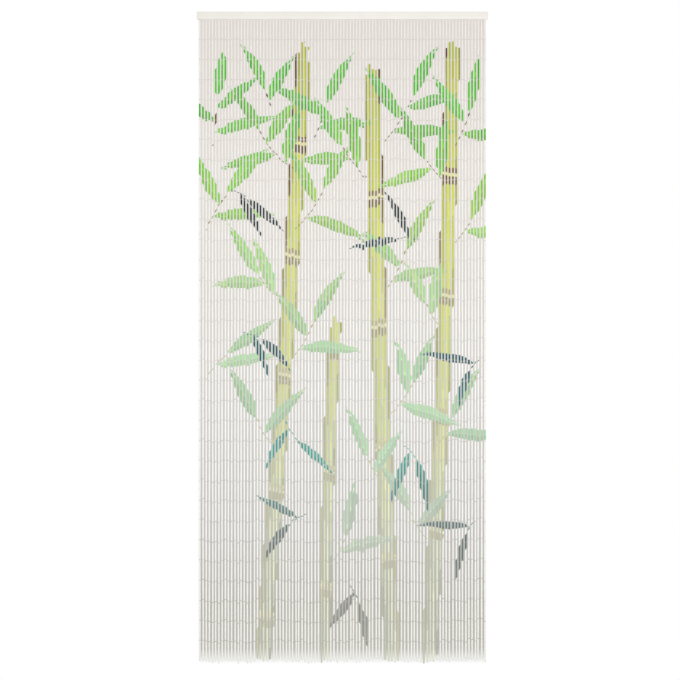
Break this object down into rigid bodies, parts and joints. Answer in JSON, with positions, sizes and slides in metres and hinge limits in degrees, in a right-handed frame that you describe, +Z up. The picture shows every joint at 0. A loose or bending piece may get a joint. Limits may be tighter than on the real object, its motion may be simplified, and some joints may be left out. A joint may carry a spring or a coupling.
{
  "type": "bamboo fly screen curtain on its head rail",
  "caption": "Door curtain of thin painted bamboo tubes wired end to end in straight strands, hung side by side from a slim painted wooden rail.",
  "frame": {"origin": "middle of the rail's back face, which goes against the wall or door frame", "axes": "+Z up, +Y out of the rail's back face, so the printed front faces -Y, +X to the right seen from the front"},
  "size_m": [0.9, 0.012, 2.0147],
  "materials": {
    "painted_wood": "satin cream paint",
    "painted_bamboo": "satin cream paint with a printed leaf design on the front"
  },
  "bodies": {
    "root": {"head_rail": "painted_wood", "strand_curtain": "painted_bamboo"}
  },
  "joints": []
}
